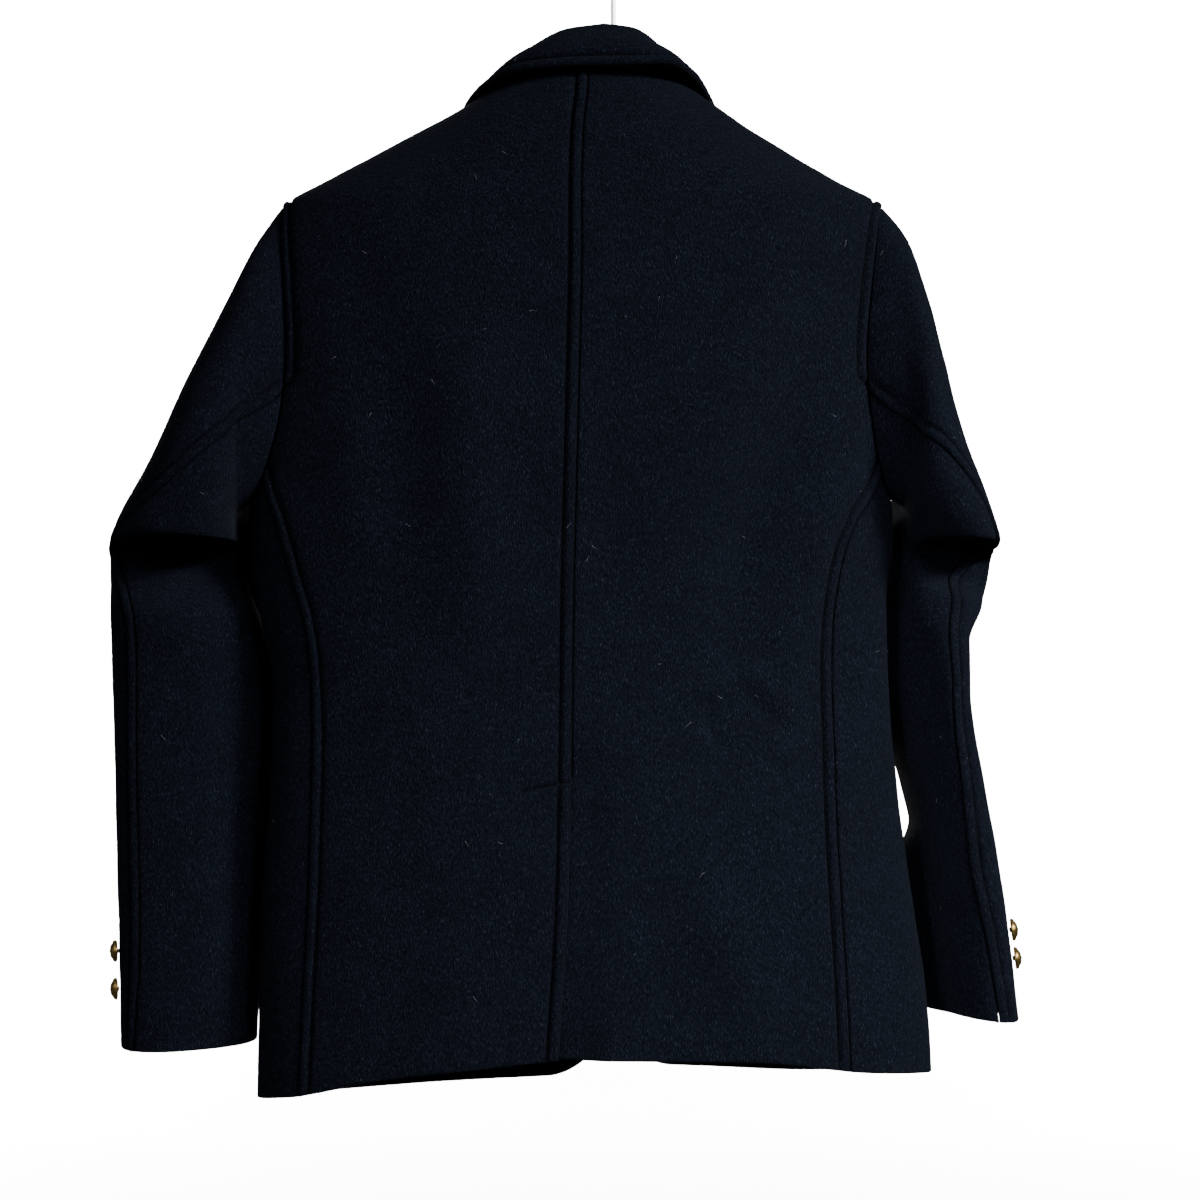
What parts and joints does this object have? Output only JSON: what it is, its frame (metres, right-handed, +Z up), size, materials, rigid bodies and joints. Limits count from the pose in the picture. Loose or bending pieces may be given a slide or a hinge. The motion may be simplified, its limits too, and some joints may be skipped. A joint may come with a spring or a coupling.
{
  "type": "blazer on a hanger",
  "caption": "Tailored single-breasted wool blazer with notch lapels, flap pockets, centre back vent and gilt buttons, hanging on a plain hanger.",
  "frame": {"origin": "inner top of the hanger's hook, where the rail bears", "axes": "+Z up, the garment's front faces -Y, the wearer's left is +X"},
  "size_m": [0.6468, 0.1562, 0.8195],
  "materials": {
    "navy_wool": "felted wool melton, matt with a fine nap",
    "gold": "polished gilt",
    "beech": "clear satin varnish",
    "steel": "bright wire"
  },
  "bodies": {
    "root": {"back_left": "navy_wool", "back_right": "navy_wool", "collar": "navy_wool", "cuff_button_left_1": "gold", "cuff_button_left_2": "gold", "cuff_button_right_1": "gold", "cuff_button_right_2": "gold", "front_button_1": "gold", "front_button_2": "gold", "front_left": "navy_wool", "front_right": "navy_wool", "hanger_bar": "beech", "hanger_hook": "steel", "lapel_left": "navy_wool", "lapel_right": "navy_wool", "pocket_flap_left": "navy_wool", "pocket_flap_right": "navy_wool", "side_left": "navy_wool", "side_right": "navy_wool", "top_sleeve_left": "navy_wool", "top_sleeve_right": "navy_wool", "under_sleeve_left": "navy_wool", "under_sleeve_right": "navy_wool"}
  },
  "joints": []
}
